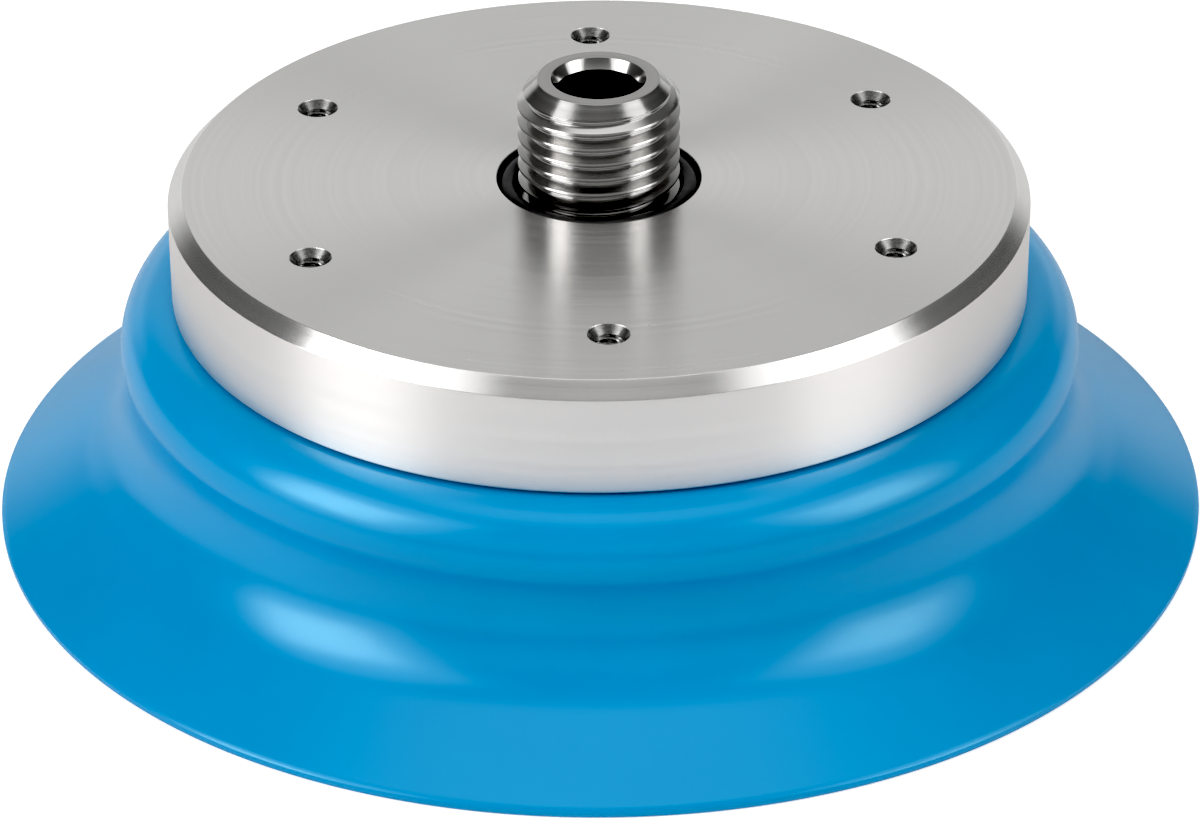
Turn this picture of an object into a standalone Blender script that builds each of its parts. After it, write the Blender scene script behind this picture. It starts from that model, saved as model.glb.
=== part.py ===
"""Round vacuum suction cup, 150 mm, with a hollow M20 male stud.

The cup stands on its lip at z = 0, with its axis on +Z and one screw at -Y. Lengths are in metres.
"""

import math

import bmesh
import bpy

MM = 0.001
GAP = 0.3 * MM

# Driving dimensions
LIP_R = 75.0 * MM
CUP_H = 29.2 * MM
PLATE_R = 52.5 * MM
PLATE_T = 14.0 * MM
STUD_R = 9.85 * MM
STUD_PITCH = 2.0 * MM
STUD_REACH = 13.25 * MM
STUD_BORE_R = 5.0 * MM
HOLE_CIRCLE_R = 40.0 * MM
HOLE_COUNT = 6

# Cup: a round shoulder, a neck that turns back out, and a straight lip.
# UNDERCUT and LIP_TILT are how far the skin's outward normal stands above level at the neck's two ends.
SHOULDER_R = 6.5 * MM
SHOULDER_AXIS_R = 52.6 * MM
SHOULDER_AXIS_Z = CUP_H - GAP - SHOULDER_R
UNDERCUT = math.radians(-15.0)
LIP_TILT = math.radians(60.0)
LIP_EDGE_T = 0.9 * MM
LIP_EDGE_BREAK = 0.3 * MM
LIP_LAND_R = 72.4 * MM
LIP_ROOT_T = 3.6 * MM
LIP_SHARE = 0.45
FLANGE_T = 4.7 * MM
FLANGE_TOP_Z = CUP_H - GAP
FLANGE_BOTTOM_Z = FLANGE_TOP_Z - FLANGE_T
FLANGE_HOLE_R = 23.7 * MM

# Clamp plate inside the cup
CLAMP_R = 47.0 * MM
CLAMP_T = 5.5 * MM
CLAMP_TOP_Z = FLANGE_BOTTOM_Z - GAP
CLAMP_BOTTOM_Z = CLAMP_TOP_Z - CLAMP_T
CLAMP_BORE_R = 6.5 * MM
CLAMP_BREAK = 0.8 * MM
COUNTERBORE_R = 4.3 * MM
COUNTERBORE_T = 3.7 * MM

# M4 screws and their spring washers
SCREW_R = 1.95 * MM
SCREW_L = 16.0 * MM
SCREW_POINT = 0.5 * MM
SCREW_HEAD_R = 3.7 * MM
SCREW_HEAD_T = 2.2 * MM
SCREW_HEAD_BREAK = 0.5 * MM
SCREW_SEAT_Z = CLAMP_BOTTOM_Z + SCREW_HEAD_T
SCREW_CLEAR_R = SCREW_R + GAP
SCREW_KEY_R = 1.44 * MM
SCREW_KEY_T = 1.3 * MM
WASHER_T = 0.9 * MM
WASHER_Z = SCREW_SEAT_Z + GAP
WASHER_R = 3.6 * MM
WASHER_SPLIT = 0.8 * MM
TAP_CORE_R = 1.65 * MM
TAP_SINK_R = 2.5 * MM

# Top plate
PLATE_BOTTOM_Z = CUP_H
PLATE_TOP_Z = PLATE_BOTTOM_Z + PLATE_T
PLATE_CHAMFER = 1.8 * MM
PLATE_BREAK = 0.3 * MM
RECESS_R = 12.5 * MM
RECESS_T = 2.5 * MM

# Stud
STUD_TOP_Z = PLATE_TOP_Z + STUD_REACH
STUD_END_R = 7.4 * MM
STUD_LEAD_T = 2.45 * MM
STUD_SINK_R = 5.8 * MM
STUD_SINK_T = 1.25 * MM
STUD_ROOT_R = STUD_R - 0.6134 * STUD_PITCH
STUD_NECK_R = 8.4 * MM
THREAD_BOTTOM_Z = PLATE_BOTTOM_Z + 6.8 * MM
STUD_FLANGE_R = 14.0 * MM
STUD_FLANGE_T = 4.0 * MM
STUD_FLANGE_TOP_Z = PLATE_BOTTOM_Z + STUD_FLANGE_T
STUD_SEAT_Z = STUD_FLANGE_TOP_Z + GAP
STUD_KEY_R = 5.9 * MM
STUD_KEY_T = 5.0 * MM

# Rubber rings
FACE_RING_R = 11.18 * MM
FACE_RING_CORD_R = 1.02 * MM
FACE_RING_Z = PLATE_TOP_Z - RECESS_T + GAP + FACE_RING_CORD_R
STUD_RING_R = 12.0 * MM
STUD_RING_CORD_R = 0.7 * MM
STUD_RING_Z = STUD_SEAT_Z + STUD_RING_CORD_R
STUD_GROOVE_HALF = STUD_RING_CORD_R + GAP
STUD_GROOVE_TOP_Z = STUD_RING_Z + STUD_GROOVE_HALF

# Thread profile, as shares of the pitch
THREAD_CREST = 0.125
THREAD_FLANK = 0.3125
THREAD_CORNERS = (0.0, THREAD_CREST, THREAD_CREST + THREAD_FLANK, 1.0 - THREAD_FLANK)

# Facets
ROUND_STEPS = 60
THREAD_STEPS = 24
RING_STEPS = 32
SMALL_STEPS = 16
CORD_STEPS = 8
SHOULDER_STEPS = 6
NECK_STEPS = 5
LIP_STEPS = 2
MERGE = 1e-5
OVER = 1.0 * MM


def clear_scene():
    for old in list(bpy.data.objects):
        bpy.data.objects.remove(old)


def make_collection(name):
    made = bpy.data.collections.new(name)
    bpy.context.scene.collection.children.link(made)
    return made


def make_material(name, colour, roughness, metallic):
    made = bpy.data.materials.new(name)
    made.use_nodes = True
    shader = made.node_tree.nodes["Principled BSDF"]
    shader.inputs["Base Color"].default_value = (*colour, 1.0)
    shader.inputs["Roughness"].default_value = roughness
    shader.inputs["Metallic"].default_value = metallic
    return made


def make_materials():
    return {
        "turned_aluminium": make_material("turned_aluminium", (0.62, 0.61, 0.60), 0.30, 1.0),
        "plated_steel": make_material("plated_steel", (0.72, 0.71, 0.69), 0.15, 1.0),
        "zinc_steel": make_material("zinc_steel", (0.50, 0.50, 0.52), 0.35, 1.0),
        "blue_polyurethane": make_material("blue_polyurethane", (0.0, 0.28, 0.62), 0.38, 0.0),
        "black_rubber": make_material("black_rubber", (0.02, 0.02, 0.02), 0.50, 0.0),
    }


def place(name, mesh, material, collection):
    """An object holding the mesh. A cutter is one made with no material."""
    made = bpy.data.objects.new(name, mesh)
    if material is None:
        made.hide_render = True
        made.display_type = "WIRE"
    elif not mesh.materials:
        mesh.materials.append(material)
    collection.objects.link(made)
    return made


def turned(name, profile, steps, material, collection, ring=False):
    """Turns (r, z) points about Z. They run down the outer side, and a ring's last point joins its first."""
    edges = [(i, i + 1) for i in range(len(profile) - 1)]
    if ring:
        edges.append((len(profile) - 1, 0))
    mesh = bpy.data.meshes.new(name)
    mesh.from_pydata([(r, 0.0, z) for r, z in profile], edges, [])
    made = place(name, mesh, material, collection)
    turn = made.modifiers.new("Turn", "SCREW")
    turn.axis = "Z"
    turn.steps = steps
    turn.render_steps = steps
    turn.use_merge_vertices = True
    turn.merge_threshold = MERGE
    turn.use_smooth_shade = True
    return made


def cut(target, cutter):
    boolean = target.modifiers.new("Cut_" + cutter.name, "BOOLEAN")
    boolean.operation = "DIFFERENCE"
    boolean.solver = "EXACT"
    boolean.object = cutter


def prism_cutter(name, sides, radius, bottom_z, top_z, collection):
    mesh = bmesh.new()
    bmesh.ops.create_cone(
        mesh, cap_ends=True, segments=sides, radius1=radius, radius2=radius, depth=top_z - bottom_z
    )
    bmesh.ops.translate(mesh, verts=mesh.verts, vec=(0.0, 0.0, (top_z + bottom_z) / 2.0))
    data = bpy.data.meshes.new(name)
    mesh.to_mesh(data)
    mesh.free()
    return place(name, data, None, collection)


def hole_angles():
    """Angles of the six holes about Z, the first at -Y."""
    return [math.radians(-90.0) + 2.0 * math.pi * i / HOLE_COUNT for i in range(HOLE_COUNT)]


def at_hole(obj, angle):
    obj.location = (HOLE_CIRCLE_R * math.cos(angle), HOLE_CIRCLE_R * math.sin(angle), 0.0)
    obj.rotation_euler = (0.0, 0.0, angle)


def cut_six(target, name, profile, cutters):
    for i, angle in enumerate(hole_angles(), start=1):
        cutter = turned(f"{name}_{i}", profile, SMALL_STEPS, None, cutters)
        at_hole(cutter, angle)
        cut(target, cutter)


def copy_to_six(pattern, name, material, parts):
    """Puts the pattern's finished mesh at each hole as its own object, and removes the pattern."""
    bpy.context.view_layer.update()
    finished = pattern.evaluated_get(bpy.context.evaluated_depsgraph_get())
    mesh = bpy.data.meshes.new_from_object(finished)
    mesh.name = name
    for i, angle in enumerate(hole_angles(), start=1):
        at_hole(place(f"{name}_{i}", mesh, material, parts), angle)
    bpy.data.objects.remove(pattern)


# Top plate


def tapped_hole():
    """From the top: countersink, core hole, and the room round the screw that comes from below."""
    screw_end = SCREW_SEAT_Z + SCREW_L + GAP
    sink_t = TAP_SINK_R - TAP_CORE_R
    return [
        (0.0, PLATE_TOP_Z + OVER),
        (TAP_SINK_R + OVER, PLATE_TOP_Z + OVER),
        (TAP_CORE_R, PLATE_TOP_Z - sink_t),
        (TAP_CORE_R, screw_end),
        (SCREW_CLEAR_R, screw_end),
        (SCREW_CLEAR_R, PLATE_BOTTOM_Z - OVER),
        (0.0, PLATE_BOTTOM_Z - OVER),
    ]


def make_top_plate(material, parts, cutters):
    bore_r = STUD_R + GAP
    flange_room_r = STUD_FLANGE_R + GAP
    profile = [
        (bore_r, PLATE_TOP_Z - RECESS_T),
        (RECESS_R, PLATE_TOP_Z - RECESS_T),
        (RECESS_R, PLATE_TOP_Z),
        (PLATE_R - PLATE_CHAMFER, PLATE_TOP_Z),
        (PLATE_R, PLATE_TOP_Z - PLATE_CHAMFER),
        (PLATE_R, PLATE_BOTTOM_Z + PLATE_BREAK),
        (PLATE_R - PLATE_BREAK, PLATE_BOTTOM_Z),
        (flange_room_r, PLATE_BOTTOM_Z),
        (flange_room_r, STUD_SEAT_Z),
        (STUD_RING_R + STUD_GROOVE_HALF, STUD_SEAT_Z),
        (STUD_RING_R + STUD_GROOVE_HALF, STUD_GROOVE_TOP_Z),
        (STUD_RING_R - STUD_GROOVE_HALF, STUD_GROOVE_TOP_Z),
        (STUD_RING_R - STUD_GROOVE_HALF, STUD_SEAT_Z),
        (bore_r, STUD_SEAT_Z),
    ]
    plate = turned("top_plate", profile, ROUND_STEPS, material, parts, ring=True)
    cut_six(plate, "tapped_hole", tapped_hole(), cutters)


# Stud


def thread_height(share):
    """How far the thread stands out of its root, 0 to 1, at a share of the pitch above a crest's lower edge."""
    if share < THREAD_CREST:
        return 1.0
    if share < THREAD_CREST + THREAD_FLANK:
        return 1.0 - (share - THREAD_CREST) / THREAD_FLANK
    if share < 1.0 - THREAD_FLANK:
        return 0.0
    return (share - 1.0 + THREAD_FLANK) / THREAD_FLANK


def stud_radius(z, share):
    """Outer radius at a height: the thread, held inside the lead-in chamfer and the run-out to the neck."""
    thread = STUD_ROOT_R + (STUD_R - STUD_ROOT_R) * thread_height(share)
    lead_in = STUD_END_R + (STUD_R - STUD_END_R) * (STUD_TOP_Z - z) / STUD_LEAD_T
    run_out = STUD_NECK_R + (z - THREAD_BOTTOM_Z)
    return min(thread, lead_in, run_out)


def thread_rows():
    """(r, z) rows from the stud's top down. Each one follows a corner of the right-hand thread.

    A row climbs one pitch in its turn, so it runs on into the row one pitch higher.
    Points past either end of the thread are held at that end's height.
    """
    turns = math.ceil((STUD_TOP_Z - THREAD_BOTTOM_Z) / STUD_PITCH) + 1
    rows = []
    for turn in reversed(range(-1, turns)):
        for corner in reversed(THREAD_CORNERS):
            row = []
            for i in range(THREAD_STEPS):
                free_z = THREAD_BOTTOM_Z + (turn + corner + i / THREAD_STEPS) * STUD_PITCH
                z = min(max(free_z, THREAD_BOTTOM_Z), STUD_TOP_Z)
                share = (corner + (z - free_z) / STUD_PITCH) % 1.0
                row.append((stud_radius(z, share), z))
            rows.append(row)
    return rows


def add_row(mesh, row):
    made = []
    for i, (radius, z) in enumerate(row):
        angle = 2.0 * math.pi * i / THREAD_STEPS
        made.append(mesh.verts.new((radius * math.cos(angle), radius * math.sin(angle), z)))
    return made


def join_corners(mesh, corners):
    """A face through the corners, unless so few are different that there is none."""
    different = list(dict.fromkeys(corners))
    if len(different) > 2:
        mesh.faces.new(different)


def join_level_rows(mesh, upper, lower):
    for i in range(THREAD_STEPS):
        j = (i + 1) % THREAD_STEPS
        join_corners(mesh, (upper[i], lower[i], lower[j], upper[j]))


def join_thread_rows(mesh, rows, top_row):
    """Joins each thread row to the next. Its far end meets the row one pitch higher, or the top."""
    per_pitch = len(THREAD_CORNERS)

    def point(row, i):
        if i < THREAD_STEPS:
            return rows[row][i]
        if row < per_pitch:
            return top_row[0]
        return rows[row - per_pitch][0]

    for row in range(len(rows) - 1):
        for i in range(THREAD_STEPS):
            corners = (point(row, i), point(row + 1, i), point(row + 1, i + 1), point(row, i + 1))
            join_corners(mesh, corners)


def make_stud(material, parts, cutters):
    """Lofts the helical thread, then the foot with its flange, and the bore back up to the top."""
    mesh = bmesh.new()
    foot_and_bore = [
        (STUD_NECK_R, THREAD_BOTTOM_Z),
        (STUD_NECK_R, STUD_FLANGE_TOP_Z),
        (STUD_FLANGE_R, STUD_FLANGE_TOP_Z),
        (STUD_FLANGE_R, PLATE_BOTTOM_Z),
        (STUD_BORE_R, PLATE_BOTTOM_Z),
        (STUD_BORE_R, STUD_TOP_Z - STUD_SINK_T),
        (STUD_SINK_R, STUD_TOP_Z),
        (STUD_END_R, STUD_TOP_Z),
    ]
    level_rows = [add_row(mesh, [corner] * THREAD_STEPS) for corner in foot_and_bore]
    spiral_rows = [add_row(mesh, row) for row in thread_rows()]
    join_thread_rows(mesh, spiral_rows, level_rows[-1])
    for upper, lower in zip(level_rows, level_rows[1:]):
        join_level_rows(mesh, upper, lower)
    bmesh.ops.remove_doubles(mesh, verts=mesh.verts, dist=1e-7)
    bmesh.ops.recalc_face_normals(mesh, faces=mesh.faces)
    data = bpy.data.meshes.new("threaded_stud")
    mesh.to_mesh(data)
    mesh.free()
    data.shade_smooth()
    data.set_sharp_from_angle(angle=math.radians(30.0))
    stud = place("threaded_stud", data, material, parts)
    key_top = PLATE_BOTTOM_Z + STUD_KEY_T
    cut(stud, prism_cutter("stud_key", 6, STUD_KEY_R, PLATE_BOTTOM_Z - OVER, key_top, cutters))


# Rubber rings


def arc(centre, radius, start, end, steps):
    """(r, z) points on an arc from one angle to another."""
    points = []
    for i in range(steps + 1):
        angle = start + (end - start) * i / steps
        points.append((centre[0] + radius * math.cos(angle), centre[1] + radius * math.sin(angle)))
    return points


def make_o_ring(name, radius, z, cord_r, material, parts):
    section = arc((radius, z), cord_r, 0.5 * math.pi, -1.5 * math.pi, CORD_STEPS)[:-1]
    turned(name, section, RING_STEPS, material, parts, ring=True)


# Cup. A station is a point of the outer skin and the point of the inner skin behind it.


def along(point, direction_angle, distance):
    return (
        point[0] + distance * math.cos(direction_angle),
        point[1] + distance * math.sin(direction_angle),
    )


def between(first, last, share):
    return tuple(a + (b - a) * share for a, b in zip(first, last))


def shoulder_station(tilt):
    axis = (SHOULDER_AXIS_R, SHOULDER_AXIS_Z)
    return along(axis, tilt, SHOULDER_R), along(axis, tilt, SHOULDER_R - FLANGE_T)


def neck_radius():
    """The neck arc starts on the shoulder at UNDERCUT, and at LIP_TILT its tangent meets the lip's edge."""
    start, _ = shoulder_station(UNDERCUT)
    drop = (start[0] - LIP_R) * math.cos(LIP_TILT) + (start[1] - LIP_EDGE_T) * math.sin(LIP_TILT)
    return drop / (1.0 - math.cos(LIP_TILT - UNDERCUT))


def neck_station(tilt):
    """The wall thins along the neck, from the flange's thickness to the lip root's."""
    radius = neck_radius()
    axis = along(shoulder_station(UNDERCUT)[0], UNDERCUT, radius)
    share = (tilt - UNDERCUT) / (LIP_TILT - UNDERCUT)
    thickness = FLANGE_T + (LIP_ROOT_T - FLANGE_T) * share
    return along(axis, tilt, -radius), along(axis, tilt, -radius - thickness)


def lip_station(share):
    root_outer, root_inner = neck_station(LIP_TILT)
    outer = between(root_outer, (LIP_R, LIP_EDGE_T), share)
    inner = between(root_inner, (LIP_LAND_R, 0.0), share)
    return outer, inner


def stations(station, start, end, steps):
    return [station(start + (end - start) * i / steps) for i in range(steps + 1)]


def section(pairs, edge=()):
    """A closed section: down the outer skin, round the edge points, and back up the inner skin."""
    return [outer for outer, _ in pairs] + list(edge) + [inner for _, inner in reversed(pairs)]


def make_cup(material, parts, cutters):
    """The moulding in three rings, parted at the waist and on the lip."""
    waist_gap = GAP / neck_radius()
    lip_length = math.dist(lip_station(0.0)[0], lip_station(1.0)[0])
    lip_gap = GAP / lip_length
    shoulder = stations(shoulder_station, 0.5 * math.pi, UNDERCUT, SHOULDER_STEPS)
    upper_neck = stations(neck_station, UNDERCUT, 0.0, 2)[1:]
    flange_top = [(FLANGE_HOLE_R, FLANGE_TOP_Z)]
    flange_bottom = [(FLANGE_HOLE_R, FLANGE_BOTTOM_Z)]
    collar = turned(
        "cup_collar",
        flange_top + section(shoulder + upper_neck) + flange_bottom,
        ROUND_STEPS,
        material,
        parts,
        ring=True,
    )
    room_r = SCREW_CLEAR_R + 0.5 * GAP
    hole = [
        (0.0, FLANGE_TOP_Z + OVER),
        (room_r, FLANGE_TOP_Z + OVER),
        (room_r, FLANGE_BOTTOM_Z - OVER),
        (0.0, FLANGE_BOTTOM_Z - OVER),
    ]
    cut_six(collar, "flange_hole", hole, cutters)
    lower_neck = stations(neck_station, waist_gap, LIP_TILT, NECK_STEPS)
    lip_root = stations(lip_station, 0.0, LIP_SHARE, 1)[1:]
    turned("cup_wall", section(lower_neck + lip_root), ROUND_STEPS, material, parts, ring=True)
    lip = stations(lip_station, LIP_SHARE + lip_gap, 1.0, LIP_STEPS)
    edge = [(LIP_R, LIP_EDGE_BREAK), (LIP_R - LIP_EDGE_BREAK, 0.0)]
    turned("sealing_lip", section(lip, edge), ROUND_STEPS, material, parts, ring=True)


# Clamp plate, screws and washers


def make_clamp_plate(material, parts, cutters):
    boss_r = FLANGE_HOLE_R - GAP
    profile = [
        (CLAMP_BORE_R, FLANGE_TOP_Z),
        (boss_r, FLANGE_TOP_Z),
        (boss_r, CLAMP_TOP_Z),
        (CLAMP_R - CLAMP_BREAK, CLAMP_TOP_Z),
        (CLAMP_R, CLAMP_TOP_Z - CLAMP_BREAK),
        (CLAMP_R, CLAMP_BOTTOM_Z + CLAMP_BREAK),
        (CLAMP_R - CLAMP_BREAK, CLAMP_BOTTOM_Z),
        (CLAMP_BORE_R + CLAMP_BREAK, CLAMP_BOTTOM_Z),
        (CLAMP_BORE_R, CLAMP_BOTTOM_Z + CLAMP_BREAK),
    ]
    plate = turned("clamp_plate", profile, ROUND_STEPS, material, parts, ring=True)
    hole = [
        (0.0, CLAMP_TOP_Z + OVER),
        (SCREW_CLEAR_R, CLAMP_TOP_Z + OVER),
        (SCREW_CLEAR_R, CLAMP_BOTTOM_Z + COUNTERBORE_T),
        (COUNTERBORE_R, CLAMP_BOTTOM_Z + COUNTERBORE_T),
        (COUNTERBORE_R, CLAMP_BOTTOM_Z - OVER),
        (0.0, CLAMP_BOTTOM_Z - OVER),
    ]
    cut_six(plate, "counterbore", hole, cutters)


def make_screws(material, parts, cutters):
    tip_z = SCREW_SEAT_Z + SCREW_L
    profile = [
        (0.0, tip_z),
        (SCREW_R - SCREW_POINT, tip_z),
        (SCREW_R, tip_z - SCREW_POINT),
        (SCREW_R, SCREW_SEAT_Z),
        (SCREW_HEAD_R, SCREW_SEAT_Z),
        (SCREW_HEAD_R, CLAMP_BOTTOM_Z + SCREW_HEAD_BREAK),
        (SCREW_HEAD_R - SCREW_HEAD_BREAK, CLAMP_BOTTOM_Z),
        (0.0, CLAMP_BOTTOM_Z),
    ]
    pattern = turned("screw_pattern", profile, SMALL_STEPS, material, parts)
    key_top = CLAMP_BOTTOM_Z + SCREW_KEY_T
    cut(pattern, prism_cutter("screw_key", 6, SCREW_KEY_R, CLAMP_BOTTOM_Z - OVER, key_top, cutters))
    copy_to_six(pattern, "clamp_screw", material, parts)


def make_washers(material, parts, cutters):
    top_z = WASHER_Z + WASHER_T
    profile = [
        (SCREW_CLEAR_R, top_z),
        (WASHER_R, top_z),
        (WASHER_R, WASHER_Z),
        (SCREW_CLEAR_R, WASHER_Z),
    ]
    pattern = turned("washer_pattern", profile, SMALL_STEPS, material, parts, ring=True)
    split = prism_cutter("washer_split", 4, WASHER_R, WASHER_Z - OVER, top_z + OVER, cutters)
    split.scale = (1.0, WASHER_SPLIT / WASHER_R, 1.0)
    split.location = (WASHER_R, 0.0, 0.0)
    cut(pattern, split)
    copy_to_six(pattern, "lock_washer", material, parts)


def main():
    clear_scene()
    parts = make_collection("vacuum_suction_cup")
    cutters = make_collection("cutters")
    materials = make_materials()
    make_top_plate(materials["turned_aluminium"], parts, cutters)
    make_stud(materials["plated_steel"], parts, cutters)
    make_o_ring("face_seal_ring", FACE_RING_R, FACE_RING_Z, FACE_RING_CORD_R, materials["black_rubber"], parts)
    make_o_ring("stud_seal_ring", STUD_RING_R, STUD_RING_Z, STUD_RING_CORD_R, materials["black_rubber"], parts)
    make_cup(materials["blue_polyurethane"], parts, cutters)
    make_clamp_plate(materials["turned_aluminium"], parts, cutters)
    make_screws(materials["zinc_steel"], parts, cutters)
    make_washers(materials["zinc_steel"], parts, cutters)


main()
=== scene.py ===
"""Looks of the 150 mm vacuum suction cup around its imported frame. Lengths are in metres."""

import math

import bmesh
import bpy
from mathutils import Matrix, Vector


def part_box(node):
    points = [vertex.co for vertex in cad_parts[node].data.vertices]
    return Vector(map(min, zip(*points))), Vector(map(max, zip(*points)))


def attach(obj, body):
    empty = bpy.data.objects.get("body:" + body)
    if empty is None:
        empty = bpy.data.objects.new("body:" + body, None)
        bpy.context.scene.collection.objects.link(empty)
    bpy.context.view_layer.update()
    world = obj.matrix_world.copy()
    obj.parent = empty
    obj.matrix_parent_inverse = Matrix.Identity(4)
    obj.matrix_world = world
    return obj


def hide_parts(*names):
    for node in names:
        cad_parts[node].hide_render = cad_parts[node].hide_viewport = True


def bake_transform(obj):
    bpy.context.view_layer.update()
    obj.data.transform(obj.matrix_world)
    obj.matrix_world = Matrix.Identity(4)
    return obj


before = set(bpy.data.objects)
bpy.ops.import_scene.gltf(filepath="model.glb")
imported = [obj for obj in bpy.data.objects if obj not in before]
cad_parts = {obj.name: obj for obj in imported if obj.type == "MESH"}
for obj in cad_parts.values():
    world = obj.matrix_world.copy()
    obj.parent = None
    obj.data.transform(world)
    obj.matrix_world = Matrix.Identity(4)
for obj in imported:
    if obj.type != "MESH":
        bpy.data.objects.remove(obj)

MM = 0.001

# Sizes that a node's box can't give, as the CAD part has them. In the names, R is a radius, T is a
# height or a depth, and Z is a height above the floor.
PLATE_CHAMFER = 1.8 * MM
PLATE_BREAK = 0.3 * MM
RECESS_R = 12.5 * MM
RECESS_T = 2.5 * MM
HOLE_CIRCLE_R = 40.0 * MM
SCREW_ROOM_R = 2.25 * MM
TAP_CORE_R = 1.65 * MM
TAP_MAJOR_R = 2.0 * MM
TAP_PITCH = 0.7 * MM
TAP_FLAT = 0.12
TAP_SINK_R = 2.5 * MM
TAP_SINK_BREAK = 0.05 * MM
STUD_PITCH = 2.0 * MM
STUD_END_R = 7.4 * MM
STUD_LEAD_T = 2.45 * MM
STUD_SINK_R = 5.8 * MM
STUD_SINK_T = 1.25 * MM
STUD_BORE_R = 5.0 * MM
STUD_NECK_R = 8.4 * MM
STUD_THREAD_R = 9.85 * MM
STUD_THREAD_DEPTH = 0.6134 * STUD_PITCH
STUD_THREAD_START = 3.85 * MM
STUD_ROOM = 0.3 * MM
STUD_FLANGE_T = 4.0 * MM
STUD_NECK_T = 6.8 * MM
STUD_KEY_R = 5.9 * MM
STUD_KEY_T = 5.0 * MM
FLANGE_ROOM_R = 14.3 * MM
FLANGE_ROOM_T = 4.3 * MM
GROOVE_R = 12.0 * MM
GROOVE_HALF = 1.0 * MM
GROOVE_TOP_T = 6.0 * MM
SHOULDER_R = 6.5 * MM
SHOULDER_AXIS_R = 52.6 * MM
UNDERCUT = math.radians(-15.0)
LIP_TILT = math.radians(60.0)
LIP_EDGE_T = 0.9 * MM
LIP_LAND_R = 72.4 * MM
LIP_ROOT_T = 3.6 * MM
FLANGE_T = 4.7 * MM
CUP_HOLE_R = 23.7 * MM
CUP_BREAK = 0.3 * MM
PART_LINE_Z = 23.35 * MM
PART_LINE_R = 58.0 * MM
PART_LINE_HALF = 0.25 * MM
PART_LINE_T = 0.015 * MM
CLAMP_BORE_R = 6.5 * MM
CLAMP_BOSS_R = 23.4 * MM
CLAMP_ROUND = 0.8 * MM
COUNTERBORE_R = 4.3 * MM
COUNTERBORE_T = 3.7 * MM
HEAD_T = 2.2 * MM
HEAD_R = 3.7 * MM
SCREW_R = 1.95 * MM
KEY_R = 1.44 * MM
KEY_T = 1.3 * MM
KEY_SINK = 0.25 * MM

# A thread's section, in shares of its pitch and of its depth
CREST_FLAT = 0.125
ROOT_ROUND = 0.16
ROOT_RISE = 0.12

# Radiance of the studio's parts
KEY = 1.62
KEY_CORE = 5.1
FILL = 1.45
FILL_CORE = 3.1
WALL_LOW = 0.92
WALL_HIGH = 0.52
FRONT = 0.45
CEILING = 1.12
AROUND = 0.04
AROUND_RISE = 0.19
FLOOR_GLOW = 0.50

# Where the walls and the ceiling end: heights as sines of the elevation, with half the width of
# their soft edge, and spans as (dark, lit) values of a cosine
WALL_EDGE, WALL_EDGE_SOFT = 0.22, 0.05
WALL_TOP, WALL_TOP_SOFT = 0.60, 0.10
WALL_LOW_SPAN = (0.64, 0.90)
WALL_HIGH_SPAN = (0.76, 0.97)
FRONT_SPAN = (-0.66, -0.86)
CEILING_SPAN = (0.87, 0.955)
CEILING_ELEVATION = 84.0

# Name, azimuth, elevation, distance, width, height and radiance
SOFTBOXES = [
    ("key_left", -63.0, 32.0, 1.0, 0.70, 0.96, KEY),
    ("key_core", -67.0, 31.0, 0.99, 0.45, 0.48, KEY_CORE),
    ("fill_right", 66.0, 32.0, 1.0, 0.70, 0.96, FILL),
    ("fill_core", 65.0, 31.0, 0.99, 0.40, 0.46, FILL_CORE),
]

BLACK = 0.030  # Black level of the view's curve
CAMERA_LENS = 148.35
CAMERA_AZIMUTH, CAMERA_ELEVATION, CAMERA_ROLL = -1.49, 29.62, -0.25
CAMERA_DISTANCE = 618.3 * MM
CAMERA_AIM_Z = 10.5 * MM

SHOULDER_STEPS, NECK_STEPS, LIP_STEPS = 36, 30, 16  # Steps along the cup's section
ROUND = 288  # Steps round a large turned piece
SHARP = 35.0  # Angle in degrees from which an edge is sharp
HOLES = 6
OVER = 1.0 * MM  # How far a cutter runs past the faces it cuts


# Mesh helpers


def rounded(corners, steps=4):
    """A closed (r, z) outline from (r, z, radius) corners, each rounded by its own radius."""
    made = []
    for i, (r, z, radius) in enumerate(corners):
        here = Vector((r, z))
        if radius <= 0.0:
            made.append((r, z))
            continue
        before = (Vector(corners[i - 1][:2]) - here).normalized()
        after = (Vector(corners[(i + 1) % len(corners)][:2]) - here).normalized()
        half = before.angle(after) / 2.0
        reach = radius / math.tan(half)
        middle = here + (before + after).normalized() * (radius / math.sin(half))
        first = here + before * reach - middle
        last = here + after * reach - middle
        turn = math.copysign(first.angle(last), first.x * last.y - first.y * last.x)
        for k in range(steps + 1):
            a = turn * k / steps
            x = first.x * math.cos(a) - first.y * math.sin(a)
            y = first.x * math.sin(a) + first.y * math.cos(a)
            made.append((middle.x + x, middle.y + y))
    return made


def add_turned(mesh, outline, steps, centre=(0.0, 0.0)):
    """Adds a closed (r, z) outline turned about a vertical axis to a bmesh."""
    rows = []
    for i in range(steps):
        a = 2.0 * math.pi * i / steps
        c, s = math.cos(a), math.sin(a)
        rows.append([mesh.verts.new((centre[0] + r * c, centre[1] + r * s, z)) for r, z in outline])
    for i in range(steps):
        here, there = rows[i], rows[(i + 1) % steps]
        for k in range(len(outline)):
            m = (k + 1) % len(outline)
            mesh.faces.new((here[k], here[m], there[m], there[k]))


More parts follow.
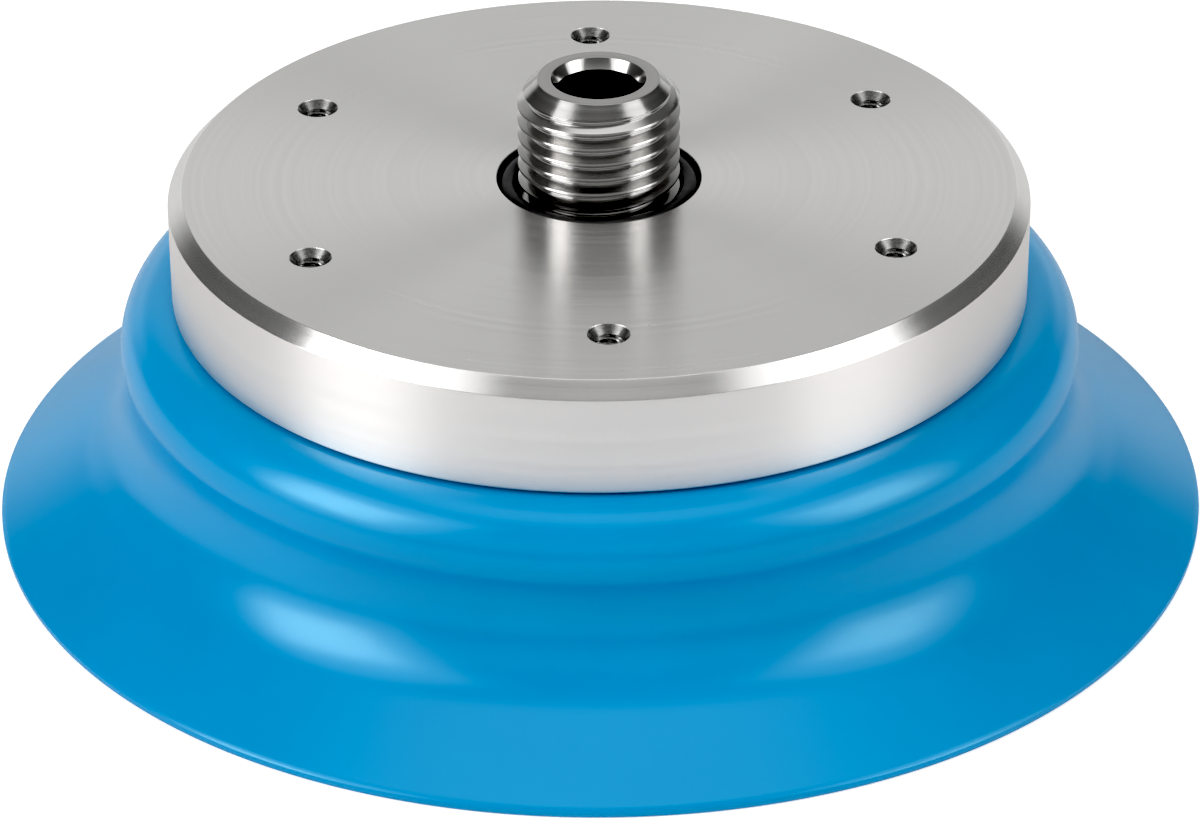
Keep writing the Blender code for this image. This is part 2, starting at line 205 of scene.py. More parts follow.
def finished(mesh, name, sharp=None):
    """A smooth-shaded object from a bmesh, with its faces turned outwards."""
    bmesh.ops.remove_doubles(mesh, verts=mesh.verts, dist=1e-7)
    bmesh.ops.recalc_face_normals(mesh, faces=mesh.faces)
    data = bpy.data.meshes.new(name)
    mesh.to_mesh(data)
    mesh.free()
    data.shade_smooth()
    if sharp is not None:
        data.set_sharp_from_angle(angle=math.radians(sharp))
    made = bpy.data.objects.new(name, data)
    bpy.context.scene.collection.objects.link(made)
    return made


def turned(name, outline, steps=ROUND, sharp=None):
    """An object turned about Z."""
    mesh = bmesh.new()
    add_turned(mesh, outline, steps)
    return finished(mesh, name, sharp)


def hole_centres():
    """Centres of the six holes, the first at -Y."""
    angles = [math.radians(-90.0 + 60.0 * i) for i in range(HOLES)]
    return [(HOLE_CIRCLE_R * math.cos(a), HOLE_CIRCLE_R * math.sin(a)) for a in angles]


def apply_boolean(obj, cutter, operation="DIFFERENCE", sharp=SHARP):
    """Cuts obj by the cutter for good, and removes the cutter."""
    step = obj.modifiers.new("Cut", "BOOLEAN")
    step.operation = operation
    step.solver = "EXACT"
    step.object = cutter
    graph = bpy.context.evaluated_depsgraph_get()
    data = bpy.data.meshes.new_from_object(obj.evaluated_get(graph), depsgraph=graph)
    obj.modifiers.clear()
    obj.data = data
    bpy.data.objects.remove(cutter)
    data.shade_smooth()
    data.set_sharp_from_angle(angle=math.radians(sharp))


def cut_holes(obj, outline, steps=48):
    """Cuts the same turned shape at each of the six holes."""
    mesh = bmesh.new()
    for centre in hole_centres():
        add_turned(mesh, outline, steps, centre)
    apply_boolean(obj, finished(mesh, "hole_cutter"))


def keep_flat(obj, z):
    """Makes the border of the level face at a height sharp, so that its shading stays level."""
    mesh = bmesh.new()
    mesh.from_mesh(obj.data)
    mesh.normal_update()
    level = {
        f for f in mesh.faces
        if abs(f.normal.z) > 0.9999 and abs(f.calc_center_median().z - z) < 1e-7
    }
    for edge in mesh.edges:
        if len(level.intersection(edge.link_faces)) == 1:
            edge.smooth = False
    mesh.to_mesh(obj.data)
    mesh.free()


def weigh_normals(obj):
    """Large flat faces keep their own normal up to their edges."""
    step = obj.modifiers.new("Normals", "WEIGHTED_NORMAL")
    step.keep_sharp = True
    step.weight = 80


def place(obj, body, slot, material, *nodes):
    """Gives a piece its material and body, and hides the CAD nodes it replaces; slot is unused."""
    obj.data.materials.clear()
    obj.data.materials.append(material)
    if body is not None:
        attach(obj, body)
    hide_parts(*nodes)


# Threads


def thread_profile(steps):
    """Heights along one pitch, 0 at the root to 1 at the crest, with a round root."""
    made = []
    for k in range(steps):
        away = abs((k / steps + 0.5) % 1.0 - 0.5)
        flank = 1.0 - (away - CREST_FLAT / 2.0) / (0.5 - CREST_FLAT / 2.0 - ROOT_ROUND)
        root = (0.5 - away) / ROOT_ROUND
        made.append(ROOT_RISE * root ** 2 if root < 1.0 else min(1.0, flank))
    return made


def height_at(profile, share):
    """The profile's height at a share of the pitch."""
    at = share * len(profile)
    k = int(at) % len(profile)
    part = at - int(at)
    return profile[k] * (1.0 - part) + profile[(k + 1) % len(profile)] * part


def threaded_rod(name, low, high, pitch, root_r, crest_r, around, profile):
    """A solid rod with a right-hand thread. Its ends are pressed level, and are cut off later."""
    mesh = bmesh.new()
    turns = math.ceil((high - low) / pitch) + 1
    per = len(profile)
    rows = []
    for turn in range(-1, turns + 1):
        for k in range(per):
            row = []
            for i in range(around):
                free = low + (turn + k / per + i / around) * pitch
                z = min(max(free, low), high)
                share = (k / per + (z - free) / pitch) % 1.0
                r = root_r + (crest_r - root_r) * height_at(profile, share)
                a = 2.0 * math.pi * i / around
                row.append(mesh.verts.new((r * math.cos(a), r * math.sin(a), z)))
            rows.append(row)
    for n in range(len(rows) - 1):
        for i in range(around):
            if i + 1 < around:
                corners = (rows[n][i], rows[n][i + 1], rows[n + 1][i + 1], rows[n + 1][i])
            elif n + per + 1 < len(rows):
                corners = (rows[n][i], rows[n + per][0], rows[n + per + 1][0], rows[n + 1][i])
            else:
                continue
            mesh.faces.new(corners)
    bmesh.ops.remove_doubles(mesh, verts=mesh.verts, dist=1e-8)
    bmesh.ops.dissolve_degenerate(mesh, edges=mesh.edges, dist=1e-9)
    open_edges = [e for e in mesh.edges if e.is_boundary]
    bmesh.ops.holes_fill(mesh, edges=open_edges, sides=0)
    return finished(mesh, name)


# Node helpers


class Tree:
    """Short names for building one node tree."""

    def __init__(self, name):
        self.material = bpy.data.materials.new(name)
        self.material.use_nodes = True
        self.nodes = self.material.node_tree.nodes
        self.links = self.material.node_tree.links
        self.shader = self.nodes["Principled BSDF"]

    def add(self, kind, **settings):
        made = self.nodes.new(kind)
        for key, value in settings.items():
            setattr(made, key, value)
        return made

    def put(self, target, source):
        """Gives a socket a constant or another node's output."""
        if isinstance(source, bpy.types.NodeSocket):
            self.links.new(source, target)
        else:
            target.default_value = source

    def math(self, operation, a, b=0.0, c=0.0):
        made = self.add("ShaderNodeMath", operation=operation)
        for socket, source in zip(made.inputs, (a, b, c)):
            self.put(socket, source)
        return made.outputs[0]

    def remap(self, source, low, high, to_low, to_high):
        made = self.add("ShaderNodeMapRange")
        for socket, value in zip(made.inputs, (source, low, high, to_low, to_high)):
            self.put(socket, value)
        return made.outputs[0]

    def position(self):
        return self.add("ShaderNodeTexCoord").outputs["Object"]

    def noise(self, coordinate, scale, detail=2.0, roughness=0.5):
        made = self.add("ShaderNodeTexNoise")
        self.put(made.inputs["Vector"], coordinate)
        made.inputs["Scale"].default_value = scale
        made.inputs["Detail"].default_value = detail
        made.inputs["Roughness"].default_value = roughness
        return made.outputs["Fac"]

    def line_noise(self, along, scale, detail=2.0):
        """Noise that varies along one number only."""
        made = self.add("ShaderNodeTexNoise", noise_dimensions="1D")
        self.put(made.inputs["W"], along)
        made.inputs["Scale"].default_value = scale
        made.inputs["Detail"].default_value = detail
        return made.outputs["Fac"]

    def blend(self, share, first, second):
        made = self.add("ShaderNodeMix", data_type="RGBA")
        self.put(made.inputs[0], share)
        self.put(made.inputs[6], first)
        self.put(made.inputs[7], second)
        return made.outputs[2]

    def bump(self, height, strength, distance):
        made = self.add("ShaderNodeBump")
        made.inputs["Strength"].default_value = strength
        made.inputs["Distance"].default_value = distance
        self.put(made.inputs["Height"], height)
        return made.outputs["Normal"]

    def tones(self, noise, low, high, first, second):
        """Between two colours, as the noise goes from low to high."""
        return self.blend(self.remap(noise, low, high, 0.0, 1.0), first, second)

    def set(self, **values):
        """Sets the shader's sockets. An underscore stands for a space."""
        for key, value in values.items():
            self.put(self.shader.inputs[key.replace("_", " ")], value)


def turned_metal(name, colour, dark, roughness, spread, anisotropic, marks, rim=None):
    """Metal with fine tool marks and dwell rings about Z, and faint stains.

    rim is (radius, height, added roughness, colour) for the metal outside the radius and below
    the height.
    """
    t = Tree(name)
    where = t.position()
    split = t.add("ShaderNodeSeparateXYZ")
    t.put(split.inputs[0], where)
    x, y, z = split.outputs
    radius = t.math("SQRT", t.math("ADD", t.math("MULTIPLY", x, x), t.math("MULTIPLY", y, y)))
    course = t.math("SUBTRACT", radius, t.math("MULTIPLY", z, 0.6))
    fine = t.line_noise(course, 2600.0, 1.0)
    rings = t.line_noise(course, 1100.0, 2.0)
    broad = t.line_noise(course, 160.0, 2.0)
    stain = t.noise(where, 70.0, 3.0)
    grit = t.noise(where, 1400.0, 3.0, 0.65)
    tone = t.math("ADD", t.math("MULTIPLY", rings, 0.55), t.math("MULTIPLY", broad, 0.20))
    tone = t.math("ADD", tone, t.math("MULTIPLY", stain, 0.25))
    shade = t.tones(tone, 0.30, 0.70, dark, colour)
    mixed = t.math("ADD", t.math("MULTIPLY", rings, 0.5), t.math("MULTIPLY", stain, 0.3))
    mixed = t.math("ADD", mixed, t.math("MULTIPLY", grit, 0.2))
    finish = t.remap(mixed, 0.30, 0.70, roughness - spread, roughness + spread)
    if rim is not None:
        # The rim's colour is warmer than the metal's. It is painted to cancel the blue that the
        # side wall reflects.
        rim_r, rim_z, rougher, rim_counter_reflection_colour = rim
        beyond, below = t.math("GREATER_THAN", radius, rim_r), t.math("LESS_THAN", z, rim_z)
        outside = t.math("MULTIPLY", beyond, below)
        finish = t.math("ADD", finish, t.math("MULTIPLY", outside, rougher))
        shade = t.blend(outside, shade, rim_counter_reflection_colour)
    t.set(Base_Color=shade, Roughness=finish)
    height = t.math("ADD", t.math("MULTIPLY", fine, 0.6), t.math("MULTIPLY", rings, 0.4))
    t.set(Normal=t.bump(height, marks, 0.02 * MM))
    t.set(Metallic=1.0, Anisotropic=anisotropic)
    tangent = t.add("ShaderNodeTangent", direction_type="RADIAL", axis="Z")
    t.set(Tangent=tangent.outputs[0])
    t.set(Anisotropic_Rotation=0.25)
    return t.material


def moulded_polyurethane():
    """Smooth blue rubber, slightly uneven, with a cool gloss."""
    t = Tree("blue_polyurethane")
    where = t.position()
    cloud = t.noise(where, 38.0, 3.0)
    skin = t.noise(where, 2600.0, 2.0, 0.6)
    swell = t.noise(where, 85.0, 1.0)
    speck = t.noise(where, 520.0, 3.0, 0.6)
    blue = t.tones(cloud, 0.3, 0.7, (0.0, 0.262, 0.555, 1.0), (0.0, 0.285, 0.600, 1.0))
    t.set(Base_Color=blue)
    rough = t.math("ADD", t.math("MULTIPLY", speck, 0.6), t.math("MULTIPLY", cloud, 0.4))
    t.set(Roughness=t.remap(rough, 0.30, 0.70, 0.22, 0.27))
    height = t.math("ADD", t.math("MULTIPLY", skin, 0.06), swell)
    t.set(Normal=t.bump(height, 0.35, 0.12 * MM))
    t.set(Specular_IOR_Level=0.78, IOR=1.5, Subsurface_Weight=0.06, Subsurface_Scale=0.001)
    t.shader.inputs["Specular Tint"].default_value = (0.50, 0.90, 0.98, 1.0)
    t.shader.inputs["Subsurface Radius"].default_value = (0.3, 0.8, 1.0)
    return t.material


def hole_shade_metal():
    """Dark metal with a fine grain: painted shade inside the tapped holes and countersinks."""
    t = Tree("painted_hole_shade_aluminium")
    grain = t.noise(t.position(), 3000.0, 3.0, 0.7)
    t.set(Base_Color=t.tones(grain, 0.3, 0.7, (0.22, 0.22, 0.22, 1.0), (0.34, 0.34, 0.33, 1.0)))
    t.set(Roughness=t.remap(grain, 0.3, 0.7, 0.22, 0.32))
    t.set(Normal=t.bump(grain, 0.2, 0.01 * MM))
    t.set(Metallic=1.0)
    return t.material


def black_rubber():
    """Dull black rubber with a little dust."""
    t = Tree("black_rubber")
    where = t.position()
    speck = t.noise(where, 900.0, 3.0, 0.6)
    dust = t.noise(where, 240.0, 3.0)
    black = t.tones(dust, 0.45, 0.75, (0.010, 0.010, 0.010, 1.0), (0.022, 0.022, 0.022, 1.0))
    t.set(Base_Color=black)
    t.set(Roughness=t.remap(speck, 0.3, 0.7, 0.34, 0.48))
    t.set(Normal=t.bump(speck, 0.25, 0.03 * MM))
    return t.material


def zinc_steel():
    """Zinc-plated steel, clouded and a little grainy."""
    t = Tree("zinc_steel")
    where = t.position()
    cloud = t.noise(where, 420.0, 3.0)
    grain = t.noise(where, 3800.0, 2.0)
    t.set(Base_Color=t.tones(cloud, 0.3, 0.7, (0.50, 0.50, 0.51, 1.0), (0.66, 0.66, 0.67, 1.0)))
    t.set(Roughness=t.remap(grain, 0.3, 0.7, 0.24, 0.36))
    t.set(Normal=t.bump(grain, 0.2, 0.01 * MM))
    t.set(Metallic=1.0)
    return t.material


# Pieces


def make_plate(material, tapped):
    """The plate, with its recess, rim, seal groove and tapped holes."""
    low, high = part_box("top_plate")
    r, bottom, top = high.x, low.z, high.z
    outline = rounded([
        (STUD_THREAD_R + STUD_ROOM, bottom + FLANGE_ROOM_T, 0.0),
        (STUD_THREAD_R + STUD_ROOM, top - RECESS_T, 0.1 * MM),
        (RECESS_R, top - RECESS_T, 0.15 * MM),
        (RECESS_R, top, 0.12 * MM),
        (r - PLATE_CHAMFER, top, 0.15 * MM),
        (r, top - PLATE_CHAMFER, 0.2 * MM),
        (r, bottom + PLATE_BREAK, 0.1 * MM),
        (r - PLATE_BREAK, bottom, 0.1 * MM),
        (FLANGE_ROOM_R, bottom, 0.1 * MM),
        (FLANGE_ROOM_R, bottom + FLANGE_ROOM_T, 0.0),
        (GROOVE_R + GROOVE_HALF, bottom + FLANGE_ROOM_T, 0.0),
        (GROOVE_R + GROOVE_HALF, bottom + GROOVE_TOP_T, 0.0),
        (GROOVE_R - GROOVE_HALF, bottom + GROOVE_TOP_T, 0.0),
        (GROOVE_R - GROOVE_HALF, bottom + FLANGE_ROOM_T, 0.0),
    ])
    plate = turned("turned_plate", outline, sharp=SHARP)
    screw_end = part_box("clamp_screw_1")[1].z + 0.3 * MM
    sink_end = top - TAP_SINK_BREAK - (TAP_SINK_R - TAP_CORE_R)
    hole = [
        (0.0, top + OVER),
        (TAP_SINK_R + TAP_SINK_BREAK + OVER, top + OVER),
        (TAP_SINK_R + TAP_SINK_BREAK, top),
        (TAP_SINK_R, top - TAP_SINK_BREAK),
        (TAP_CORE_R, sink_end),
        (TAP_MAJOR_R, sink_end),
        (TAP_MAJOR_R, screw_end),
        (SCREW_ROOM_R, screw_end),
        (SCREW_ROOM_R, bottom - OVER),
        (0.0, bottom - OVER),
    ]
    cut_holes(plate, hole)
    add_tapped_threads(plate, screw_end, sink_end)
    keep_flat(plate, top)
    weigh_normals(plate)
    place(plate, "holder", "turned_aluminium", material, "top_plate")
    # The holes' walls and countersinks take the dark metal: painted shade inside the holes.
    plate.data.materials.append(tapped)
    for face in plate.data.polygons:
        x, y, z = face.center
        if screw_end < z < top - 0.03 * MM:
            inside = any(math.hypot(x - cx, y - cy) < TAP_SINK_R for cx, cy in hole_centres())
            face.material_index = 1 if inside else 0


def add_tapped_threads(plate, low, high):
    """Adds each tapped hole's wall, whose M4 thread runs out under the countersink."""
    mesh = bmesh.new()
    mesh.from_mesh(plate.data)
    around, per = 40, 8
    turns = int(math.ceil((high - low) / TAP_PITCH))
    for cx, cy in hole_centres():

        def ring(z, radii):
            made = []
            for i, r in enumerate(radii):
                a = 2.0 * math.pi * i / around
                made.append(mesh.verts.new((cx + r * math.cos(a), cy + r * math.sin(a), z)))
            return made

        loops = []
        for k in range(turns * per + 1):
            z = min(low + (k / per) * TAP_PITCH, high)
            run_out = min(1.0, (high - z) / (0.5 * TAP_PITCH))
            radii = []
            for i in range(around):
                wave = abs((k / per - i / around) % 1.0 * 2.0 - 1.0)
                wave = min(1.0, max(0.0, (wave - TAP_FLAT) / (1.0 - 2.0 * TAP_FLAT)))
                radii.append(TAP_CORE_R + (TAP_MAJOR_R - TAP_CORE_R) * wave * run_out)
            loops.append(ring(z, radii))
        for z in (high, low):
            loops.append(ring(z, [TAP_MAJOR_R + 0.02 * MM] * around))
        for k in range(len(loops)):
            here, there = loops[k], loops[(k + 1) % len(loops)]
            for i in range(around):
                j = (i + 1) % around
                face = mesh.faces.new((here[i], there[i], there[j], here[j]))
                face.smooth = True
    mesh.to_mesh(plate.data)
    mesh.free()
    plate.data.set_sharp_from_angle(angle=math.radians(SHARP))


def make_stud(material):
    """The hollow stud: a threaded rod cut to its outline, on a flanged foot with a key socket."""
    low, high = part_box("threaded_stud")
    top, bottom = high.z, low.z
    rod = threaded_rod(
        "threaded_nipple", bottom + STUD_NECK_T - STUD_THREAD_START, top + 3.0 * MM, STUD_PITCH,
        STUD_THREAD_R - STUD_THREAD_DEPTH, STUD_THREAD_R, 120, thread_profile(16),
    )
    lead_low = top - STUD_LEAD_T
    joint_z = bottom + STUD_FLANGE_T + 2.0 * MM
    envelope = rounded([
        (STUD_BORE_R, joint_z, 0.0),
        (STUD_BORE_R, top - STUD_SINK_T, 0.1 * MM),
        (STUD_SINK_R, top, 0.12 * MM),
        (STUD_END_R, top, 0.15 * MM),
        (STUD_THREAD_R + 0.05 * MM, lead_low - 0.03 * MM, 0.0),
        (STUD_THREAD_R + 0.05 * MM, bottom + STUD_NECK_T + 1.5 * MM, 0.0),
        (STUD_NECK_R - 0.6 * MM, bottom + STUD_NECK_T - 0.5 * MM, 0.0),
        (STUD_NECK_R - 0.6 * MM, joint_z, 0.0),
    ])
    keep = turned("stud_envelope", envelope, 144)
    apply_boolean(rod, keep, "INTERSECT", 32.0)
    foot = rounded([
        (STUD_BORE_R, bottom, 0.1 * MM),
        (STUD_BORE_R, bottom + STUD_FLANGE_T + 2.05 * MM, 0.0),
        (STUD_NECK_R, bottom + STUD_FLANGE_T + 2.05 * MM, 0.0),
        (STUD_NECK_R, bottom + STUD_FLANGE_T, 0.1 * MM),
        (high.x, bottom + STUD_FLANGE_T, 0.15 * MM),
        (high.x, bottom, 0.15 * MM),
    ])
    base = turned("stud_foot", foot, 144, SHARP)
    apply_boolean(base, hexagon("stud_key", STUD_KEY_R, STUD_KEY_T, 0.0, (0.0, 0.0, bottom)))
    merge_into(rod, base)
    weigh_normals(rod)
    place(rod, "holder", "plated_steel", material, "threaded_stud")


def hexagon(name, radius, reach, angle, centre):
    """A hexagonal cutter about its centre, turned by an angle in radians."""
    mesh = bmesh.new()
    bmesh.ops.create_cone(
        mesh, cap_ends=True, segments=6, radius1=radius, radius2=radius, depth=2.0 * reach
    )
    bmesh.ops.rotate(mesh, verts=mesh.verts, matrix=Matrix.Rotation(angle, 3, "Z"))
    bmesh.ops.translate(mesh, verts=mesh.verts, vec=centre)
    return finished(mesh, name)


def merge_into(target, extra):
    """Adds the other object's mesh to the target's, and removes the other object."""
    mesh = bmesh.new()
    mesh.from_mesh(target.data)
    mesh.from_mesh(extra.data)
    mesh.to_mesh(target.data)
    mesh.free()
    bpy.data.objects.remove(extra)


def make_face_ring(material):
    """The O-ring in the recess, with its fine moulding flash."""
    low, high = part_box("face_seal_ring")
    cord = (high.z - low.z) / 2.0
    axis_r, middle = high.x - cord, (high.z + low.z) / 2.0
    steps = 40
    outline = []
    for k in range(steps):
        a = 2.0 * math.pi * k / steps
        flash = 0.03 * MM if k in (0, steps // 2) else 0.0
        outline.append((axis_r + (cord + flash) * math.cos(a), middle + cord * math.sin(a)))
    ring = turned("face_o_ring", outline, 192)
    place(ring, "holder", "black_rubber", material, "face_seal_ring")


def along(point, angle, distance):
    """The (r, z) point at a distance from another, at an angle in radians."""
    return (point[0] + distance * math.cos(angle), point[1] + distance * math.sin(angle))


def between(first, last, share):
    """The (r, z) point at a share of the way from one to another."""
    return tuple(a + (b - a) * share for a, b in zip(first, last))


def cup_outline():
    """The moulding's section: shoulder, neck and straight lip outside, then the inner skin back."""
    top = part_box("cup_collar")[1].z
    lip_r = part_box("sealing_lip")[1].x
    axis = (SHOULDER_AXIS_R, top - SHOULDER_R)
    start = along(axis, UNDERCUT, SHOULDER_R)
    drop = (start[0] - lip_r) * math.cos(LIP_TILT) + (start[1] - LIP_EDGE_T) * math.sin(LIP_TILT)
    neck_r = drop / (1.0 - math.cos(LIP_TILT - UNDERCUT))
    neck_axis = along(start, UNDERCUT, neck_r)
    outer, inner = [], []
    for k in range(SHOULDER_STEPS + 1):
        tilt = math.radians(90.0) + (UNDERCUT - math.radians(90.0)) * k / SHOULDER_STEPS
        outer.append(along(axis, tilt, SHOULDER_R))
        inner.append(along(axis, tilt, SHOULDER_R - FLANGE_T))
    for k in range(1, NECK_STEPS + 1):
        share = k / NECK_STEPS
        tilt = UNDERCUT + (LIP_TILT - UNDERCUT) * share
        thick = FLANGE_T + (LIP_ROOT_T - FLANGE_T) * share
        outer.append(along(neck_axis, tilt, -neck_r))
        inner.append(along(neck_axis, tilt, -neck_r - thick))
    root_out, root_in = outer[-1], inner[-1]
    for k in range(1, LIP_STEPS):
        share = k / LIP_STEPS
        outer.append(between(root_out, (lip_r, LIP_EDGE_T), share))
        inner.append(between(root_in, (LIP_LAND_R, 0.0), share))
    edge = [
        (lip_r - 0.06 * MM, LIP_EDGE_T + 0.03 * MM),
        (lip_r, LIP_EDGE_T - 0.08 * MM),
        (lip_r, 0.30 * MM),
        (lip_r - 0.08 * MM, 0.10 * MM),
        (lip_r - 0.28 * MM, 0.0),
        (LIP_LAND_R + 0.15 * MM, 0.0),
        (LIP_LAND_R, 0.04 * MM),
    ]
    bottom = top - FLANGE_T
    flange = [
        (CUP_HOLE_R + CUP_BREAK, bottom),
        (CUP_HOLE_R, bottom + CUP_BREAK),
        (CUP_HOLE_R, top - CUP_BREAK),
        (CUP_HOLE_R + CUP_BREAK, top),
    ]
    return part_line(outer) + edge + inner[::-1] + flange


def part_line(outer):
    """Presses the mould's fine parting line into the shoulder's skin, where it turns under."""
    made = []
    for r, z in outer:
        away = abs(z - PART_LINE_Z)
        if r > PART_LINE_R and away < PART_LINE_HALF:
            r -= PART_LINE_T * (1.0 - away / PART_LINE_HALF)
        made.append((r, z))
    return made


def make_cup(material):
    """The whole moulding in one piece, left without a body, its transform baked into its mesh."""
    cup = turned("cup_moulding", cup_outline())
    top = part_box("cup_collar")[1].z
    above, below = top + OVER, top - FLANGE_T - OVER
    hole_r = SCREW_ROOM_R + 0.15 * MM
    cut_holes(cup, [(0.0, above), (hole_r, above), (hole_r, below), (0.0, below)], 24)
    cup.data.set_sharp_from_angle(angle=math.radians(60.0))
    place(cup, None, "blue_polyurethane", material, "cup_collar", "cup_wall", "sealing_lip")
    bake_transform(cup)


def make_clamp(material):
    """The disc inside the cup, with a boss up to the plate and a counterbore at each screw."""
    low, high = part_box("clamp_plate")
    shoulder_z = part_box("cup_collar")[1].z - FLANGE_T - 0.3 * MM
    outline = rounded([
        (CLAMP_BORE_R, high.z, 0.1 * MM),
        (CLAMP_BOSS_R, high.z, 0.2 * MM),
        (CLAMP_BOSS_R, shoulder_z, 0.0),
        (high.x, shoulder_z, CLAMP_ROUND),
        (high.x, low.z, CLAMP_ROUND),
        (CLAMP_BORE_R + CLAMP_ROUND, low.z, 0.12 * MM),
        (CLAMP_BORE_R, low.z + CLAMP_ROUND, 0.12 * MM),
    ], 5)
    clamp = turned("clamp_disc", outline, sharp=SHARP)
    hole = [
        (0.0, shoulder_z + OVER),
        (SCREW_ROOM_R, shoulder_z + OVER),
        (SCREW_ROOM_R, low.z + COUNTERBORE_T),
        (COUNTERBORE_R, low.z + COUNTERBORE_T),
        (COUNTERBORE_R, low.z + 0.2 * MM),
        (COUNTERBORE_R + 0.2 * MM, low.z),
        (COUNTERBORE_R + 0.2 * MM + OVER, low.z - OVER),
        (0.0, low.z - OVER),
    ]
    cut_holes(clamp, hole)
    weigh_normals(clamp)
    place(clamp, "holder", "turned_aluminium", material, "clamp_plate")


def make_screws(material):
    """Low-head socket screws, each left at an angle of its own."""
    for i, centre in enumerate(hole_centres(), start=1):
        low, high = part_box(f"clamp_screw_{i}")
        outline = rounded([
            (0.0, high.z, 0.0),
            (SCREW_R - 0.5 * MM, high.z, 0.0),
            (SCREW_R, high.z - 0.5 * MM, 0.0),
            (SCREW_R, low.z + HEAD_T, 0.0),
            (HEAD_R, low.z + HEAD_T, 0.15 * MM),
            (HEAD_R, low.z, 0.45 * MM),
            (KEY_R + KEY_SINK, low.z, 0.0),
            (0.0, low.z + KEY_R + KEY_SINK, 0.0),
        ], 5)
        mesh = bmesh.new()
        add_turned(mesh, outline, 64, centre)
        screw = finished(mesh, f"cap_screw_{i}", SHARP)
        turn = 0.4 + 1.1 * i
        apply_boolean(screw, hexagon("screw_key", KEY_R, KEY_T, turn, (*centre, low.z)))
        weigh_normals(screw)
        place(screw, "holder", "zinc_steel", material, f"clamp_screw_{i}")


# Studio


def direction(azimuth, elevation):
    """A unit vector. Azimuth 0 is towards the camera's side, -Y, and 90 is +X."""
    a, e = math.radians(azimuth), math.radians(elevation)
    return Vector((math.sin(a) * math.cos(e), -math.cos(a) * math.cos(e), math.sin(e)))


def softbox(name, azimuth, elevation, distance, width, height, radiance):
    """A rectangular light that faces the origin and can't be seen by the camera."""
    lamp = bpy.data.lights.new(name, "AREA")
    lamp.shape = "RECTANGLE"
    lamp.size = width
    lamp.size_y = height
    lamp.energy = radiance * width * height * math.pi
    made = bpy.data.objects.new(name, lamp)
    towards = direction(azimuth, elevation)
    made.location = towards * distance
    made.rotation_euler = towards.to_track_quat("Z", "Y").to_euler()
    made.visible_camera = False
    bpy.context.scene.collection.objects.link(made)


def make_world():
    """A dark studio: a wall behind the object, brightest low down, a dimmer one in front, and a
    soft ceiling. The camera sees it as white.
    """
    world = bpy.data.worlds.new("studio")
    world.use_nodes = True
    bpy.context.scene.world = world
    nodes, links = world.node_tree.nodes, world.node_tree.links

    def calc(name, operation, a, b=0.0):
        made = nodes.new("ShaderNodeMath")
        made.name, made.operation = name, operation
        for socket, source in zip(made.inputs, (a, b)):
            if isinstance(source, float):
                socket.default_value = source
            else:
                links.new(source, socket)
        return made.outputs[0]

    def ramp(name, source, dark, lit):
        """0 at dark and 1 at lit, with soft ends."""
        made = nodes.new("ShaderNodeMapRange")
        made.name, made.interpolation_type = name, "SMOOTHSTEP"
        links.new(source, made.inputs["Value"])
        made.inputs["From Min"].default_value = dark
        made.inputs["From Max"].default_value = lit
        return made.outputs[0]

    where = nodes.new("ShaderNodeTexCoord")
    split = nodes.new("ShaderNodeSeparateXYZ")
    links.new(where.outputs["Generated"], split.inputs[0])
    _, y, z = split.outputs
    level = calc("level", "SQRT", calc("rest", "SUBTRACT", 1.0, calc("zz", "MULTIPLY", z, z)))
    facing = calc("facing", "DIVIDE", y, level)
    wide = ramp("wide", facing, *WALL_LOW_SPAN)
    narrow = ramp("narrow", facing, *WALL_HIGH_SPAN)
    front = ramp("front", facing, *FRONT_SPAN)
    low = ramp("low", z, WALL_EDGE + WALL_EDGE_SOFT, WALL_EDGE - WALL_EDGE_SOFT)
    near = nodes.new("ShaderNodeVectorMath")
    near.operation = "DOT_PRODUCT"
    links.new(where.outputs["Generated"], near.inputs[0])
    near.inputs[1].default_value = direction(180.0, CEILING_ELEVATION)
    over = ramp("over", near.outputs["Value"], *CEILING_SPAN)
    under = ramp("under", z, WALL_TOP + WALL_TOP_SOFT, WALL_TOP - WALL_TOP_SOFT)
    upper = calc("upper", "MULTIPLY", calc("not_low", "SUBTRACT", 1.0, low), under)
    parts = [
        ("low", calc("back_low", "MULTIPLY", wide, low), WALL_LOW),
        ("high", calc("back_high", "MULTIPLY", narrow, upper), WALL_HIGH),
        ("front", calc("front_high", "MULTIPLY", front, upper), FRONT),
        ("over", over, CEILING),
    ]
    above = calc("above", "MAXIMUM", z, 0.0)
    total = calc("around", "ADD", calc("rise", "MULTIPLY", above, AROUND_RISE), AROUND)
    for name, share, radiance in parts:
        total = calc(f"sum_{name}", "ADD", total, calc(f"add_{name}", "MULTIPLY", share, radiance))
    seen = nodes.new("ShaderNodeLightPath").outputs["Is Camera Ray"]
    links.new(calc("backdrop", "MAXIMUM", total, seen), nodes["Background"].inputs["Strength"])
    nodes["Background"].inputs["Color"].default_value = (1.0, 1.0, 1.0, 1.0)


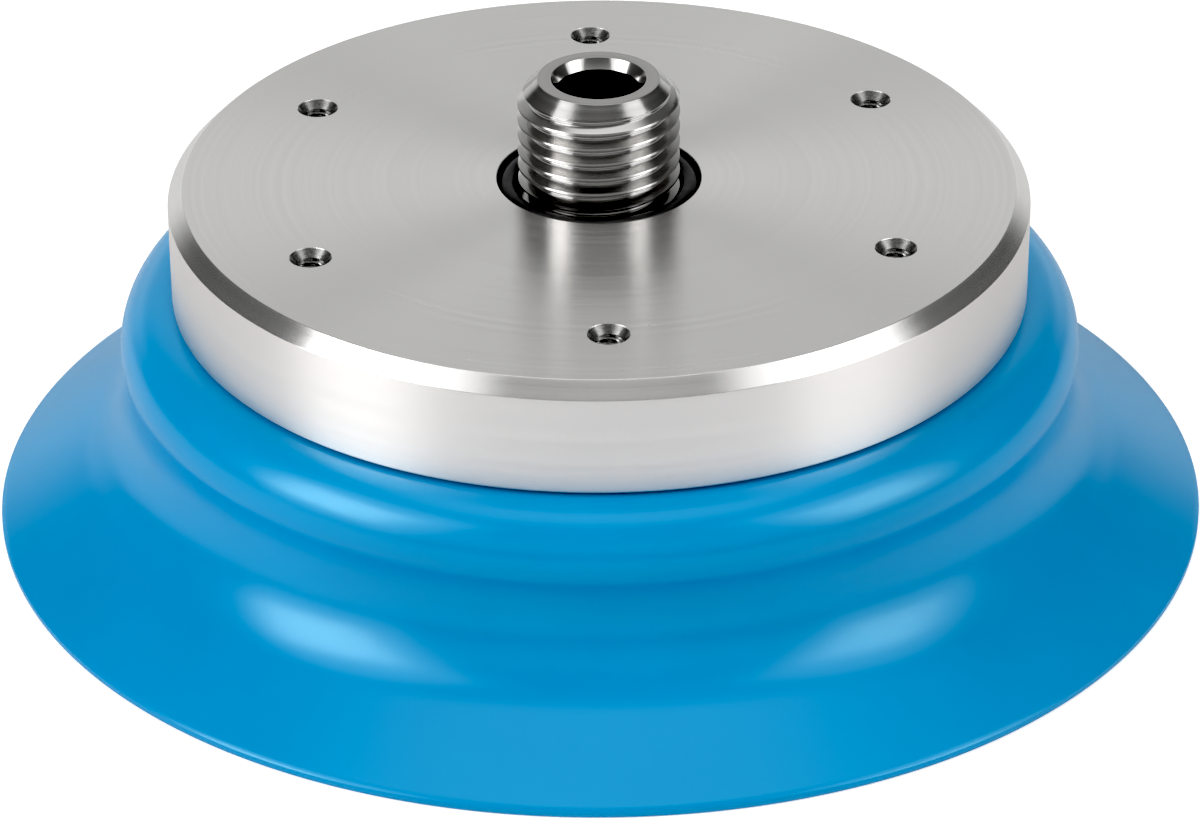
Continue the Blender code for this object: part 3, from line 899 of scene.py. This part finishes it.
def make_floor():
    """A plain pale floor, with a glow that only the camera sees."""
    mesh = bmesh.new()
    bmesh.ops.create_grid(mesh, x_segments=8, y_segments=8, size=3.0)
    bmesh.ops.translate(mesh, verts=mesh.verts, vec=(0.0, 0.0, -0.02 * MM))
    floor = finished(mesh, "floor")
    t = Tree("pale_floor")
    t.set(Base_Color=(0.87, 0.87, 0.87, 1.0), Roughness=0.7, Specular_IOR_Level=0.2)
    t.shader.inputs["Emission Color"].default_value = (1.0, 1.0, 1.0, 1.0)
    seen = t.add("ShaderNodeLightPath").outputs["Is Camera Ray"]
    t.set(Emission_Strength=t.math("MULTIPLY", seen, FLOOR_GLOW))
    floor.data.materials.append(t.material)


def make_camera():
    """At the viewing angle, aimed a little above the lip."""
    data = bpy.data.cameras.new("camera")
    data.sensor_width = 36.0
    data.lens = CAMERA_LENS
    made = bpy.data.objects.new("camera", data)
    bpy.context.scene.collection.objects.link(made)
    towards = direction(CAMERA_AZIMUTH, CAMERA_ELEVATION)
    made.location = Vector((0.0, 0.0, CAMERA_AIM_Z)) + towards * CAMERA_DISTANCE
    roll = Matrix.Rotation(math.radians(CAMERA_ROLL), 4, "Z")
    turn = towards.to_track_quat("Z", "Y").to_matrix().to_4x4()
    made.rotation_euler = (turn @ roll).to_euler()
    bpy.context.scene.camera = made


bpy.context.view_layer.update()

plate_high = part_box("top_plate")[1]
rim_z = plate_high.z - PLATE_CHAMFER - 0.05 * MM
# The plate's side wall gets a warmer colour. It is painted to cancel the blue that it reflects from
# the cup.
aluminium = turned_metal(
    "turned_aluminium", (0.89, 0.882, 0.872, 1.0), (0.83, 0.822, 0.808, 1.0), 0.25, 0.025, 0.92,
    0.09, (plate_high.x - 0.4 * MM, rim_z, 0.07, (0.90, 0.865, 0.835, 1.0)),
)
plated = turned_metal(
    "plated_steel", (0.52, 0.516, 0.508, 1.0), (0.44, 0.436, 0.428, 1.0), 0.15, 0.025, 0.4, 0.06
)
rubber = moulded_polyurethane()
black = black_rubber()
zinc = zinc_steel()

make_plate(aluminium, hole_shade_metal())
make_stud(plated)
make_face_ring(black)
make_cup(rubber)
make_clamp(aluminium)
make_screws(zinc)
washers = [(f"lock_washer_{i}", zinc) for i in range(1, HOLES + 1)]
for node, material in [("stud_seal_ring", black)] + washers:
    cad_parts[node].data.materials.clear()
    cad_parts[node].data.materials.append(material)

make_world()
make_floor()
for settings in SOFTBOXES:
    softbox(*settings)
make_camera()
view = bpy.context.scene.view_settings
view.view_transform = "Standard"
view.use_curve_mapping = True
view.curve_mapping.black_level = (BLACK, BLACK, BLACK)
view.curve_mapping.update()
